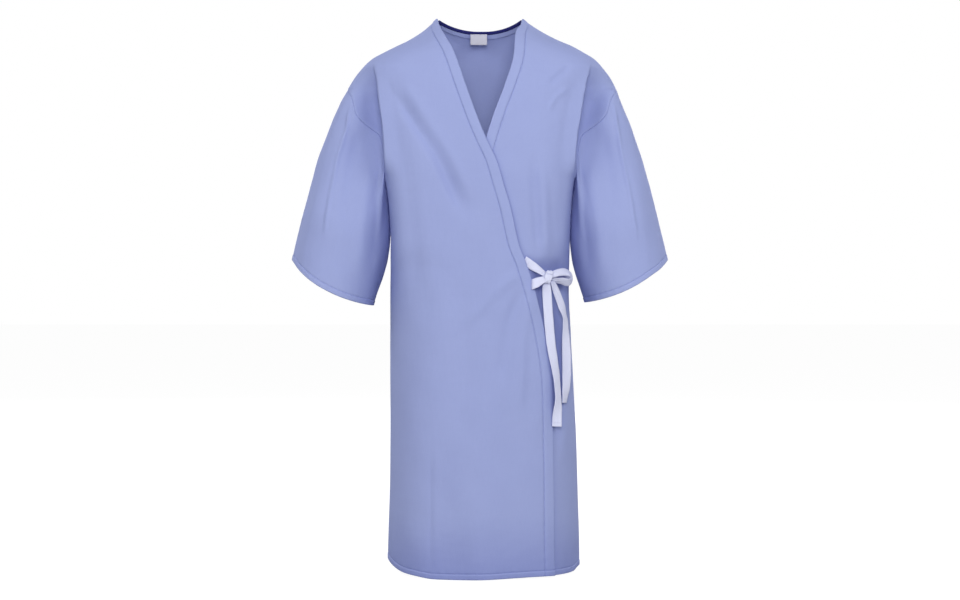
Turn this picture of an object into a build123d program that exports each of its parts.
from build123d import *
import bisect
import math
import os

# Wrap-over patient gown, standing open as it is worn.  Millimetres, +Z up.
# The front faces -Y and the wearer's right side is at -X.  The origin is at
# floor level of the lowest hem point, on the side-seam plane (y = 0).
# Each cloth piece is a thin worn shell, lofted from level sections and cut to
# an outline drawn on the XZ plane.  The outer front is fixed at -X and laps
# over the under front, which is fixed at +X.  Functions that serve both sides
# take side = -1 or +1.

os.makedirs("parts", exist_ok=True)

# ------------------------------------------------------- cloth layers and gaps
# levels are measured outwards from the worn surface to a layer's outer face
CLOTH = 0.8          # thickness of one cloth layer
OUTER = 0.0          # outer layer: outer front, back, sleeves
OUTER_FACING = -1.5  # band turned inside the outer front's edge
UNDER = -3.0         # under front
UNDER_FACING = -4.5  # band turned inside the under front's edge
STITCH = 0.9         # top of a thread row on the outer layer
THREAD = 0.35        # thread row thickness
THREAD_W = 0.9       # thread row width
SEAM_GAP = 0.8       # half of the clearance between front and back
SPLIT = 1.0          # half of the clearance along the fold lines
ARM_GAP = 1.2        # clearance on each side of the armhole plane
UNDERARM_GAP = 0.6   # half opening of the sleeve tube at its seam, degrees

# ------------------------------------------------------------ bands and tapes
BAND = 22.0          # turned front edge band
BAND_INSET = 1.0     # band's setback from the cloth edge
HEM = 10.0           # stitched sleeve and body hem
UNDER_LIFT = 3.0     # under front's hem above the outer hem
BINDING = 6.0        # back neck binding, seen width
TAPE_W = 18.0        # tie tape width
TAPE_T = 0.9         # tie tape thickness
EDGE_TAIL = 268.0    # free length of the front-edge tie
SEAM_TAIL = 226.0    # free length of the side-seam tie
INNER_TAIL = 255.0   # free length of the two inner ties
LABEL_W, LABEL_H, LABEL_T = 35.0, 24.0, 1.0

# ------------------------------------------------------- worn shape, by height
# (z, half width of the body at the side seam)
HALF_WIDTH = [
    (-20, 192), (60, 191.5), (160, 189), (260, 187), (360, 185), (460, 182), (560, 179),
    (647, 177), (717, 178), (760, 180), (777, 184), (795, 206), (815, 236), (840, 262),
    (875, 286), (905, 288), (935, 279), (957, 269), (977, 259), (997, 243), (1017, 225),
    (1031, 208), (1043, 183), (1055, 157), (1073, 124), (1090, 98), (1099, 84), (1106, 62)]
# (z, distance of the cloth from the side-seam plane)
FRONT_DEPTH = [
    (-20, 130), (237, 125), (437, 120), (647, 119), (797, 123), (850, 121.5), (891, 118),
    (956, 107.5), (1023, 86), (1058, 68), (1087, 47), (1099, 33), (1106, 20)]
BACK_DEPTH = [
    (-20, 124), (237, 119), (437, 112), (647, 106), (797, 106), (891, 102), (956, 94),
    (1023, 76), (1058, 60), (1087, 41), (1099, 30), (1106, 18)]
# (z, superellipse exponent of the plan section; 2 = ellipse)
SQUARENESS = [
    (-20, 2.3), (437, 2.4), (647, 2.7), (760, 2.9), (800, 2.6), (875, 2.5), (1000, 2.4),
    (1106, 2.2)]
# heights of the loft sections
LEVELS = [
    -20, 60, 160, 260, 360, 460, 560, 640, 700, 740, 762, 777, 790, 803, 818, 838, 860, 885,
    910, 935, 957, 977, 997, 1014, 1030, 1043, 1056, 1068, 1080, 1091, 1101]
FACETS = 26          # flat facets across one front or back section
PLAN_STEPS = 800     # fine steps from which the facets are spaced
SLEEVE_FACETS = 32   # flat facets round one sleeve section

# ------------------------------------------------- outlines in the XZ plane (x, z)
NECK_X, NECK_Z = 84, 1099.0              # neck point on each shoulder
BACK_NECK_Z = 1081.0                     # lowest point of the back neckline
FRONT_NECK_X = 83.5                      # top of each front's neck edge
ARM_TOP = (266.0, 960.0)
ARM_PIT = (184.0, 775.0)
LAP = (11.5, 848.0)                      # where the two front edges cross
# fold line of the under front's flap; the outer front's is its mirror image
FOLD_TOP_X, FOLD_TOP_Z = 29.0, 956.0
FOLD_HEM_X, FOLD_HEM_Z = 140.0, 0.0
ABOVE_Z = 1120                           # cut outlines close here, above the cloth
CUT_REACH = 400                          # cuts run this far to front and back

# free edges of the two fronts, neck point to hem
OUTER_EDGE = [
    (-83, 1087), (-70.5, 1058), (-52.5, 1023), (-29, 956), (-6, 891), LAP, (32.6, 802),
    (45, 760), (58.6, 714), (75, 641), (88.6, 606), (104, 556), (112, 529), (124, 479),
    (133, 415), (138, 343), (140.6, 265), (141.4, 150), (143.3, 0)]
UNDER_EDGE = [
    (83, 1087), (71.6, 1067), (66, 1015), (48.2, 954), (28.8, 902), LAP, (-2, 800),
    (-20, 700), (-38, 560), (-48, 400), (-56, 200), (-62, 0)]
# bottom hem, from -X to +X
HEM_LINE = [
    (-230, 40), (-176, 22), (-140, 10), (-100, 3), (-60, 0), (0, 1), (60, 4), (120, 8),
    (160, 14), (200, 24), (230, 34)]
HEM_LEFT, HEM_RIGHT = HEM_LINE[0][0], HEM_LINE[-1][0]     # its -X and +X ends
# +X sleeve sections: (outer edge (x, z), inner edge (x, z), half depth along Y)
SLEEVE = [
    ((258, 975), (176, 790), 84), (ARM_TOP, ARM_PIT, 86), ((301, 877), (187, 725), 84),
    ((330, 795), (187, 672), 82), ((352, 711), (188, 620), 82), ((374, 627), (206, 548), 84),
    ((386, 583), (222, 498), 85)]
# +X sleeve's hem, from its outer edge inwards
SLEEVE_HEM = [
    (390, 640), (374, 617), (350, 592), (322, 570), (286, 550), (250, 536), (214, 527),
    (190, 524)]


# --------------------------------------------------------------- curve helpers
def interpolate(rows, key):
    """Smooth monotone interpolation of a (key, value) table."""
    keys = [row[0] for row in rows]
    if key <= keys[0]:
        return rows[0][1]
    if key >= keys[-1]:
        return rows[-1][1]
    i = bisect.bisect_right(keys, key) - 1

    def secant(k):
        return (rows[k + 1][1] - rows[k][1]) / (rows[k + 1][0] - rows[k][0])

    def slope(k):
        if k == 0:
            return secant(0)
        if k == len(rows) - 1:
            return secant(k - 1)
        before, after = secant(k - 1), secant(k)
        return 0.0 if before * after <= 0 else 2 * before * after / (before + after)

    span = rows[i + 1][0] - rows[i][0]
    part = (key - rows[i][0]) / span
    return ((2 * part ** 3 - 3 * part ** 2 + 1) * rows[i][1]
            + (part ** 3 - 2 * part ** 2 + part) * span * slope(i)
            + (-2 * part ** 3 + 3 * part ** 2) * rows[i + 1][1]
            + (part ** 3 - part ** 2) * span * slope(i + 1))


def along(rows, step=45.0):
    """Points about one step apart in z along an (x, z) curve, in order of falling z."""
    by_height = sorted((z, x) for x, z in rows)
    top, low = by_height[-1][0], by_height[0][0]
    count = max(2, int(round((top - low) / step)))
    heights = [top + (low - top) * k / count for k in range(count + 1)]
    return [(interpolate(by_height, z), z) for z in heights]


def shifted(points, distance):
    """An open 2-D polyline moved sideways, to the left of its direction."""
    out = []
    for i, (x, z) in enumerate(points):
        (x0, z0), (x1, z1) = points[max(i - 1, 0)], points[min(i + 1, len(points) - 1)]
        chord = math.hypot(x1 - x0, z1 - z0)
        out.append((x - (z1 - z0) / chord * distance, z + (x1 - x0) / chord * distance))
    return out


def ribbon(path, width):
    """Closed polygon of a strip of even width along an open 2-D path."""
    return shifted(path, width / 2) + shifted(path, -width / 2)[::-1]


def on_side(side, points):
    """Points given for +X, mirrored when side is -1."""
    return [(side * x, z) for x, z in points]


def clipped(points, low, high):
    return [point for point in points if low <= point[1] <= high]


def levels_between(low, high):
    return [z for z in LEVELS if low <= z <= high]


# ---------------------------------------------------------------- worn surface
def depth_table(side):
    return FRONT_DEPTH if side < 0 else BACK_DEPTH


def body_y(side, x, z):
    """y of the worn surface at (x, z), front (side -1) or back (side +1)."""
    width, power = interpolate(HALF_WIDTH, z), interpolate(SQUARENESS, z)
    depth = interpolate(depth_table(side), z)
    return side * depth * max(0.0, 1 - min(1.0, abs(x) / width) ** power) ** (1 / power)


def plan_curve(side, z):
    """Front or back half of the plan section at height z, evenly spaced, -X to +X."""
    width, power = interpolate(HALF_WIDTH, z), interpolate(SQUARENESS, z)
    depth = interpolate(depth_table(side), z)
    dense = []
    for k in range(PLAN_STEPS + 1):
        angle = math.pi * (k / PLAN_STEPS - 0.5)
        sine, cosine = math.sin(angle), max(0.0, math.cos(angle))
        dense.append((width * math.copysign(abs(sine) ** (2 / power), sine),
                      side * (SEAM_GAP + (depth - SEAM_GAP) * cosine ** (2 / power))))
    run = [0.0]
    for start, end in zip(dense, dense[1:]):
        run.append(run[-1] + math.dist(start, end))
    out, k = [], 0
    for i in range(FACETS + 1):
        want = run[-1] * i / FACETS
        while k < PLAN_STEPS - 1 and run[k + 1] < want:
            k += 1
        part = (want - run[k]) / max(1e-9, run[k + 1] - run[k])
        out.append((dense[k][0] + part * (dense[k + 1][0] - dense[k][0]),
                    dense[k][1] + part * (dense[k + 1][1] - dense[k][1])))
    return out


def plan_normal(side, curve, i):
    """Outward unit normal of a plan curve at point i; level at the two seams."""
    if i in (0, len(curve) - 1):
        return (-1.0 if i == 0 else 1.0, 0.0)
    (x0, y0), (x1, y1) = curve[i - 1], curve[i + 1]
    chord = math.hypot(x1 - x0, y1 - y0)
    return -side * (y1 - y0) / chord, side * (x1 - x0) / chord


def thin_section(plane, curve, normals, level, thick):
    """Closed thin face along a curve, its outer side at a level."""
    def offset_curve(distance):
        return [(x + nx * distance, y + ny * distance)
                for (x, y), (nx, ny) in zip(curve, normals)]

    outline = offset_curve(level) + offset_curve(level - thick)[::-1]
    with BuildSketch(plane) as section:
        with BuildLine():
            Polyline(*outline, close=True)
        make_face()
    return section.sketch.face()


def body_sections(side, level, thick=CLOTH, z_low=LEVELS[0], z_high=LEVELS[-1]):
    """Plan sections of one worn layer, front (side -1) or back (side +1)."""
    out = []
    for z in levels_between(z_low, z_high):
        curve = plan_curve(side, z)
        normals = [plan_normal(side, curve, i) for i in range(len(curve))]
        out.append(thin_section(Plane.XY.offset(z), curve, normals, level, thick))
    return out


def sleeve_sections(side, level, thick=CLOTH):
    """Sections of a sleeve tube, open along its under-arm seam; side -1 is at -X."""
    out = []
    for (outer_x, outer_z), (inner_x, inner_z), depth in SLEEVE:
        centre = Vector(side * (outer_x + inner_x) / 2, 0, (outer_z + inner_z) / 2)
        major = Vector(side * (outer_x - inner_x) / 2, 0, (outer_z - inner_z) / 2)
        half = major.length
        curve, normals = [], []
        for k in range(SLEEVE_FACETS + 1):
            angle = (math.radians(180 - UNDERARM_GAP)
                     - math.radians(360 - 2 * UNDERARM_GAP) * k / SLEEVE_FACETS)
            x, y = half * math.cos(angle), depth * math.sin(angle)
            nx, ny = x / half ** 2, y / depth ** 2
            size = math.hypot(nx, ny)
            curve.append((x, y))
            normals.append((nx / size, ny / size))
        plane = Plane(origin=centre, x_dir=major,
                      z_dir=Vector(0, 1, 0).cross(major.normalized()))
        out.append(thin_section(plane, curve, normals, level, thick))
    return out


# --------------------------------------------------------------- piece helpers
def save(part, name):
    part.label = name
    export_step(part, f"parts/{name}.step")


def cut_piece(name, sections, *outlines):
    """Loft a shell and keep what lies inside every XZ outline."""
    with BuildPart() as piece:
        loft(sections, ruled=True)
        for outline in outlines:
            with BuildSketch(Plane.XZ):
                with BuildLine():
                    Polyline(*outline, close=True)
                make_face()
            extrude(amount=CUT_REACH, both=True, mode=Mode.INTERSECT)
    save(piece.part, name)


def fold_x(z):
    """x of the under front's fold line at height z; the outer front's is -fold_x."""
    slope = (FOLD_HEM_X - FOLD_TOP_X) / (FOLD_TOP_Z - FOLD_HEM_Z)
    return FOLD_TOP_X + (FOLD_TOP_Z - z) * slope


def arm_x(z, clear):
    """x of the armhole plane at height z, moved towards the sleeve by clear."""
    (top_x, top_z), (pit_x, pit_z) = ARM_TOP, ARM_PIT
    return pit_x + (z - pit_z) * (top_x - pit_x) / (top_z - pit_z) + clear


def hem_between(start, end, lift=0.0):
    """Hem points between two x values, in order from start to end."""
    rows = [(x, z + lift) for x, z in HEM_LINE]
    low, high = min(start, end), max(start, end)
    points = [(low, interpolate(rows, low)), *[row for row in rows if low < row[0] < high],
              (high, interpolate(rows, high))]
    return points if start < end else points[::-1]


outer_edge = along(OUTER_EDGE)
under_edge = along(UNDER_EDGE)
neck_curve = [(x, BACK_NECK_Z + (NECK_Z - BACK_NECK_Z) * (abs(x) / NECK_X) ** 2.2)
              for x in range(-NECK_X, NECK_X + 1, 12)]


def below_neck(distance):
    """The back neckline, -X to +X, moved down."""
    return shifted(neck_curve, -distance)


# body outline past the side seam and armhole, bottom to top
body_plus_x = [(240, 700), (186.5, 768), (arm_x(778, -ARM_GAP), 778),
               (arm_x(1010, -ARM_GAP), 1010), (320, ABOVE_Z)]
body_minus_x = on_side(-1, body_plus_x)[::-1]             # top to bottom

# ------------------------------------------------------------------ back panel
BINDING_GAP = 0.6    # clearance between the panel and the neck binding
BACK_NECK_CUT_X = NECK_X + 0.2

cut_piece("back_panel", body_sections(1, OUTER),
          [*hem_between(HEM_LEFT, HEM_RIGHT), *body_plus_x, (BACK_NECK_CUT_X, ABOVE_Z),
           *below_neck(BINDING + BINDING_GAP)[::-1], (-BACK_NECK_CUT_X, ABOVE_Z),
           *body_minus_x])

# ---------------------------------------- fronts: shoulder and side portions
FIXED_EDGE_LOW = FOLD_TOP_Z + 3      # lowest edge point kept above the fold
FIXED_EDGE_HIGH = 1200               # above every edge point

cut_piece("outer_front_panel", body_sections(-1, OUTER),
          [*hem_between(HEM_LEFT, -fold_x(0) - SPLIT),
           (-fold_x(FOLD_TOP_Z) - SPLIT, FOLD_TOP_Z),
           *clipped(outer_edge, FIXED_EDGE_LOW, FIXED_EDGE_HIGH)[::-1],
           (-FRONT_NECK_X, ABOVE_Z), *body_minus_x])

cut_piece("under_front_panel", body_sections(-1, UNDER),
          [*hem_between(fold_x(0) + SPLIT, HEM_RIGHT, UNDER_LIFT), *body_plus_x,
           (FRONT_NECK_X, ABOVE_Z), *clipped(under_edge, FIXED_EDGE_LOW, FIXED_EDGE_HIGH),
           (fold_x(FOLD_TOP_Z) + SPLIT, FOLD_TOP_Z)])

# ---------------------------------------------- front flaps, free of the folds
FLAP_TOP = FOLD_TOP_Z - 4            # flap's corner on the fold line
FLAP_EDGE_TOP = FOLD_TOP_Z - 6       # highest free edge point of a flap


def front_flap(name, side, level, edge, edge_low, hem_end, lift):
    """Free part of a front, from its fold (on the given side) to its edge."""
    cut_piece(name, body_sections(-1, level, z_high=977),
              [*hem_between(side * (fold_x(0) - SPLIT), hem_end, lift),
               *clipped(edge, edge_low, FLAP_EDGE_TOP)[::-1],
               (side * (fold_x(FLAP_TOP) - SPLIT), FLAP_TOP)])


front_flap("outer_front_flap", -1, OUTER, outer_edge, edge_low=4,
           hem_end=OUTER_EDGE[-1][0], lift=0.0)
front_flap("under_front_flap", 1, UNDER, under_edge, edge_low=6,
           hem_end=UNDER_EDGE[-1][0], lift=UNDER_LIFT)

# ------------------------------------------ bands turned inside the front edges
FLAP_BAND_TOP = FOLD_TOP_Z - 14
NECK_BAND_LOW, NECK_BAND_TOP = FOLD_TOP_Z + 4, 1075


def edge_band(side, edge):
    """Band outline beside a front edge, on the side where that front is fixed."""
    return shifted(edge, side * BAND_INSET) + shifted(edge, side * BAND)[::-1]


def past_fold(side):
    """Everything on the free edge's side of a fold line."""
    low, high, reach = -40, FOLD_TOP_Z + 30, 300
    return [(side * (fold_x(low) - SPLIT), low), (side * (fold_x(high) - SPLIT), high),
            (-side * reach, high), (-side * reach, low)]


for word, side, level, edge, band_low in (
        ("outer", -1, OUTER_FACING, outer_edge, 6),
        ("under", 1, UNDER_FACING, under_edge, 10)):
    cut_piece(f"{word}_front_facing", body_sections(-1, level, z_high=957),
              edge_band(side, clipped(edge, band_low, FLAP_BAND_TOP)), past_fold(side))
    cut_piece(f"{word}_neck_facing", body_sections(-1, level, z_low=935),
              edge_band(side, clipped(edge, NECK_BAND_LOW, NECK_BAND_TOP)))

# ------------------------------------------------- back neck: binding and tape
cut_piece("neck_binding", body_sections(1, OUTER + 0.5, thick=1.8, z_low=1043),
          neck_curve + below_neck(BINDING)[::-1])

# tape inside the panel; its edges run these distances below the binding
NECK_TAPE_TOP, NECK_TAPE_LOW = 1.2, 13
cut_piece("neck_tape", body_sections(1, OUTER_FACING, z_low=1014),
          below_neck(BINDING + NECK_TAPE_TOP)[1:-1]
          + below_neck(BINDING + NECK_TAPE_LOW)[1:-1][::-1])

# ------------------------------------------------------------------ neck label
LABEL_X, LABEL_TOP = -2.5, 1075.5
LABEL_INSET = 7.0                    # label's centre inside the back surface
LABEL_CORNER = 1.0
TACK_X, TACK_Z = 12, 1061            # tacks at -X and +X, outside the back
TACK_W, TACK_H = 1.6, 5.0

label_y = body_y(1, 0, 1077) - LABEL_INSET
with BuildPart() as neck_label:
    with BuildSketch(Plane(origin=(LABEL_X, label_y, LABEL_TOP - LABEL_H / 2),
                           x_dir=(1, 0, 0), z_dir=(0, -1, 0))):
        Rectangle(LABEL_W, LABEL_H)
    extrude(amount=LABEL_T / 2, both=True)
    fillet(neck_label.edges().filter_by(Axis.Y), radius=LABEL_CORNER)
save(neck_label.part, "neck_label")

with BuildPart() as label_tacks:
    loft(body_sections(1, STITCH + 0.2, thick=0.5, z_low=1043, z_high=1080), ruled=True)
    with BuildSketch(Plane.XZ):
        with Locations((-TACK_X, TACK_Z), (TACK_X, TACK_Z)):
            Rectangle(TACK_W, TACK_H)
    extrude(amount=CUT_REACH, both=True, mode=Mode.INTERSECT)
save(label_tacks.part, "label_tacks")

# --------------------------------------------------- sleeves and their hem rows
sleeve_outline = [(arm_x(1040, ARM_GAP), 1040), (arm_x(768, ARM_GAP), 768), (165, 735),
                  (165, 500), *SLEEVE_HEM[::-1], (430, 700), (430, 1040)]
sleeve_row = ribbon([(x, z + HEM) for x, z in SLEEVE_HEM], THREAD_W)

for word, side in (("right", -1), ("left", 1)):
    cut_piece(f"{word}_sleeve", sleeve_sections(side, OUTER), on_side(side, sleeve_outline))
    cut_piece(f"{word}_sleeve_stitching", sleeve_sections(side, STITCH, THREAD),
              on_side(side, sleeve_row))


# ----------------------------------------------------------------- thread rows
def thread_row(name, side, path, **heights):
    """Row of thread along an (x, z) path on the front (side -1) or back (side +1)."""
    cut_piece(name, body_sections(side, STITCH, THREAD, **heights), ribbon(path, THREAD_W))


EDGE_ROW_INSET = BAND - 2            # row's distance from the outer front's edge
NECK_ROW_DROP = BINDING + 6          # row's distance below the back neckline
HEM_ROW_END = 136                    # +X end of the outer front's hem row

thread_row("outer_edge_stitching", -1,
           shifted(clipped(outer_edge, 8, FOLD_TOP_Z - 60), -EDGE_ROW_INSET), z_high=935)
thread_row("outer_hem_stitching", -1,
           hem_between(-fold_x(20) + SPLIT + 1, HEM_ROW_END, HEM), z_high=60)
thread_row("back_hem_stitching", 1, hem_between(HEM_LEFT, HEM_RIGHT, HEM), z_high=60)
thread_row("back_neck_stitching", 1, below_neck(NECK_ROW_DROP)[1:-1], z_low=1014)


# ------------------------- cords of the seams, in the gap between front and back
def seam_cords(name, z_low, z_high, width, depth=0.5):
    """A cord up each side of the body, its outer face at the body's half width."""
    with BuildPart() as cords:
        for side in (-1, 1):
            sections = []
            for z in levels_between(z_low, z_high):
                with BuildSketch(Plane.XY.offset(z)) as section:
                    with Locations((side * (interpolate(HALF_WIDTH, z) - width / 2), 0)):
                        Rectangle(width, depth)
                sections.append(section.sketch.face())
            loft(sections, ruled=True)
    save(cords.part, name)


seam_cords("side_seam_stitching", 60, 762, width=0.6)
seam_cords("shoulder_seam_stitching", 977, 1091, width=1.0)


# ------------------------------------------------------------------ outer ties
def tape_plane(x, z, run_x, run_z):
    """Plane through (x, 0, z); local x runs along (run_x, run_z), local y is +Y."""
    return Plane(origin=(x, 0, z), x_dir=(run_x, 0, run_z), z_dir=(-run_z, 0, run_x))


def tape(name, *runs):
    """Flat tape along one or more (plane, path) runs, centred on each plane."""
    with BuildPart() as piece:
        for plane, path in runs:
            with BuildSketch(plane):
                with BuildLine():
                    Polyline(*ribbon(path, TAPE_T), close=True)
                make_face()
            extrude(amount=TAPE_W / 2, both=True)
        if name == "edge_tie":
            # knot wrapped round the crossing of the tapes
            with BuildSketch(Plane(origin=KNOT, x_dir=(1, 0, 0), z_dir=(0, -1, 0))):
                RectangleRounded(KNOT_W, KNOT_H, KNOT_CORNER)
            extrude(amount=KNOT_T / 2, both=True)
    save(piece.part, name)


KNOT = Vector(132, -108.5, 581)
KNOT_W, KNOT_H, KNOT_T, KNOT_CORNER = 23, 25, 11.0, 6
TAIL_TOP = 566
TAIL_EXTRA = 4                       # added to a tail's free length
SEAM_TIE_Z = 583

# front-edge tape: strap from the outer edge to the knot, and the -X bow loop;
# path columns are (distance along the plane, y)
strap_y = body_y(-1, 80, 606) - 1.9
strap_plane = tape_plane(86, 614, 0.825, -0.566)
strap_path = [(0, strap_y), (18, strap_y), (32, strap_y + 2), (46, -110)]
loop_plane = tape_plane(124, 578, -0.908, -0.419)
loop_path = [(-6, -112), (8, -116.5), (20, -119), (28, -118), (30, -115.6), (27, -113.4),
             (18, -112.9), (8, -112.4), (-6, -109)]
tape("edge_tie", (strap_plane, strap_path), (loop_plane, loop_path))

# frame of stitches holding the strap to the front
TACK_FRAME_W, TACK_FRAME_H, TACK_THREAD = 11, 12, 0.8
tack_offset = Vector(0, strap_y - TAPE_T / 2 - 0.6, 0)
with BuildPart() as edge_tie_tack:
    with BuildSketch(Plane(origin=strap_plane.origin + tack_offset + strap_plane.x_dir * 9,
                           x_dir=strap_plane.x_dir, z_dir=(0, -1, 0))):
        Rectangle(TACK_FRAME_W, TACK_FRAME_H)
        Rectangle(TACK_FRAME_W - 2 * TACK_THREAD, TACK_FRAME_H - 2 * TACK_THREAD,
                  mode=Mode.SUBTRACT)
    extrude(amount=THREAD)
save(edge_tie_tack.part, "edge_tie_tack")

tape("edge_tie_tail",
     (tape_plane(128, TAIL_TOP, 0.0749, -0.9972),
      [(1.5, -107.5), (60, -104.5), (165, -101), (EDGE_TAIL + TAIL_EXTRA, -98.5)]))

# side-seam tape: strap round the +X side and the +X bow loop; columns are (x, y)
seam_path = [(177.6, -6), (176.6, -30), (170, -56), (158, -75), (146, -86.5),
             (135, -94.2), (132.6, -96.6), (134.5, -99), (142, -99.8), (156, -98.6),
             (168, -94), (175, -87.8), (173.4, -84.4), (166, -86.6), (155, -91),
             (147, -93.4)]
tape("seam_tie", (Plane.XY.offset(SEAM_TIE_Z), seam_path))

tape("seam_tie_tail",
     (tape_plane(150, TAIL_TOP, 0.0787, -0.9969),
      [(1.5, -92.5), (60, -90), (150, -86.5), (SEAM_TAIL + TAIL_EXTRA, -84.5)]))

# ------------------------------------------------------------------ inner ties
INNER_TOP = 588                      # upper end of both inner ties
INNER_FIT_Z = 590                    # height at which their places are taken
INNER_EDGE_X = -22


def hanging_tie(name, x, y, x_dir, z_dir):
    """Straight tape hanging from INNER_TOP."""
    with BuildPart() as tie:
        with BuildSketch(Plane(origin=(x, y, INNER_TOP - INNER_TAIL / 2), x_dir=x_dir,
                               z_dir=z_dir)):
            Rectangle(TAPE_W, INNER_TAIL)
        extrude(amount=TAPE_T / 2, both=True)
    save(tie.part, name)


# behind the under front's free edge, and inside the -X side seam
hanging_tie("inner_edge_tie", INNER_EDGE_X, body_y(-1, INNER_EDGE_X, INNER_FIT_Z) + 9.0,
            x_dir=(1, 0, 0), z_dir=(0, -1, 0))
hanging_tie("inner_side_tie", -(interpolate(HALF_WIDTH, INNER_FIT_Z) - 4.5), 1,
            x_dir=(0, 1, 0), z_dir=(1, 0, 0))
